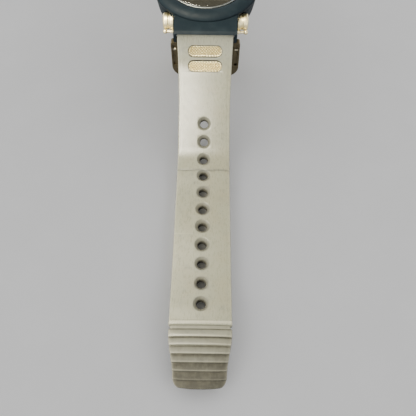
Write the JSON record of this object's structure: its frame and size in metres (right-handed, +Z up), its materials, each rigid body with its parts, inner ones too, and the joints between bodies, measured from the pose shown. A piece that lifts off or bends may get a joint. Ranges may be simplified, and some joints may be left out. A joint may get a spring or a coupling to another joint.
{
  "type": "wrist dive computer",
  "caption": "Round wrist dive computer with corner pushers, a smooth bezel and a two-part rubber strap with a ribbed tip, standing open on its strap.",
  "frame": {"origin": "centre of the bounding box's base, on the table the object stands on", "axes": "+Z up from the table, +Y towards the 12 o'clock side, -Y along the stretched long strap half, +X to the wearer's right of the display"},
  "size_m": [0.0488, 0.1947, 0.0449],
  "materials": {
    "navy_composite": "smooth matte blue-grey composite",
    "pale_rim": "thin pale satin rim",
    "crystal": "dark polished crystal",
    "champagne_titanium": "satin champagne titanium",
    "buckle_titanium": "satin bronze-toned titanium",
    "grey_urethane": "translucent silver-grey urethane, satin with wear",
    "steel": "plain turned steel",
    "seal_rubber": "black seal rubber",
    "inner_plastic": "black moulded plastic",
    "board": "green solder mask",
    "display": "grey-green liquid crystal display"
  },
  "bodies": {
    "case": {"case_body": "navy_composite", "bezel_ring": "navy_composite", "crystal_retainer": "pale_rim", "crystal": "crystal", "crystal_gasket": "seal_rubber", "dial_mask": "inner_plastic", "lcd_panel": "display", "module_frame": "inner_plastic", "zebra_strip_lower": "seal_rubber", "zebra_strip_upper": "seal_rubber", "circuit_board": "board", "processor": "inner_plastic", "quartz_can": "steel", "pressure_sensor": "steel", "piezo_buzzer": "steel", "battery": "steel", "battery_contact": "steel", "battery_cover_gasket": "seal_rubber", "caseback": "champagne_titanium", "caseback_gasket": "seal_rubber", "caseback_screw_1": "steel", "caseback_screw_2": "steel", "caseback_screw_3": "steel", "caseback_screw_4": "steel", "sensor_filter": "steel", "data_contact_left": "champagne_titanium", "data_contact_right": "champagne_titanium", "collar_lower_left": "champagne_titanium", "collar_lower_right": "champagne_titanium", "collar_upper_left": "champagne_titanium", "collar_upper_right": "champagne_titanium", "button_spring_lower_left": "steel", "button_spring_lower_right": "steel", "button_spring_upper_left": "steel", "button_spring_upper_right": "steel", "switch_lower_left": "inner_plastic", "switch_lower_right": "inner_plastic", "switch_upper_left": "inner_plastic", "switch_upper_right": "inner_plastic", "strap_bar_lower": "steel", "strap_bar_upper": "steel"},
    "battery_cover": {"battery_cover": "champagne_titanium"},
    "button_lower_left": {"button_lower_left": "champagne_titanium"},
    "button_lower_right": {"button_lower_right": "champagne_titanium"},
    "button_upper_left": {"button_upper_left": "champagne_titanium"},
    "button_upper_right": {"button_upper_right": "champagne_titanium"},
    "long_strap": {"strap_long": "grey_urethane", "insert_long_1": "champagne_titanium", "insert_long_2": "champagne_titanium"},
    "short_strap": {"strap_short": "grey_urethane", "insert_short_1": "champagne_titanium", "insert_short_2": "champagne_titanium", "keeper_fixed": "grey_urethane", "buckle_pin": "steel"},
    "free_keeper": {"keeper_free": "grey_urethane"},
    "buckle": {"buckle_frame": "buckle_titanium"},
    "tongue": {"buckle_tongue": "buckle_titanium"}
  },
  "joints": [
    {"name": "press_lower_left", "type": "slide", "parent": "case", "child": "button_lower_left", "axis": [1, 0, 0], "range_m": [0, 0.0007], "stiffness_N_per_m": 600, "springref_m": -0.0008, "deforming": ["button_spring_lower_left"]},
    {"name": "press_lower_right", "type": "slide", "parent": "case", "child": "button_lower_right", "axis": [-1, 0, 0], "range_m": [0, 0.0007], "stiffness_N_per_m": 600, "springref_m": -0.0008, "deforming": ["button_spring_lower_right"]},
    {"name": "press_upper_left", "type": "slide", "parent": "case", "child": "button_upper_left", "axis": [1, 0, 0], "range_m": [0, 0.0007], "stiffness_N_per_m": 600, "springref_m": -0.0008, "deforming": ["button_spring_upper_left"]},
    {"name": "press_upper_right", "type": "slide", "parent": "case", "child": "button_upper_right", "axis": [-1, 0, 0], "range_m": [0, 0.0007], "stiffness_N_per_m": 600, "springref_m": -0.0008, "deforming": ["button_spring_upper_right"]},
    {"name": "battery_cover_turn", "type": "hinge", "parent": "case", "child": "battery_cover", "pos_m": [0, 0.06665, 0.02592], "axis": [0, 0.1736, -0.9848], "range_deg": [0, 45]},
    {"name": "long_strap_hinge", "type": "hinge", "parent": "case", "child": "long_strap", "pos_m": [0, 0.03831, 0.03001], "axis": [-1, 0, 0], "range_deg": [-30, 55]},
    {"name": "short_strap_hinge", "type": "hinge", "parent": "case", "child": "short_strap", "pos_m": [0, 0.09189, 0.03945], "axis": [-1, 0, 0], "range_deg": [-60, 0]},
    {"name": "free_keeper_slide", "type": "hinge", "parent": "short_strap", "child": "free_keeper", "pos_m": [0, 0.06874, 0.02855], "axis": [1, 0, 0], "range_deg": [-18, 25]},
    {"name": "buckle_hinge", "type": "hinge", "parent": "short_strap", "child": "buckle", "pos_m": [0, 0.04239, 0.01914], "axis": [-1, 0, 0], "range_deg": [-3, 32]},
    {"name": "tongue_hinge", "type": "hinge", "parent": "buckle", "child": "tongue", "pos_m": [0, 0.04239, 0.01914], "axis": [-1, 0, 0], "range_deg": [0, 36]}
  ]
}
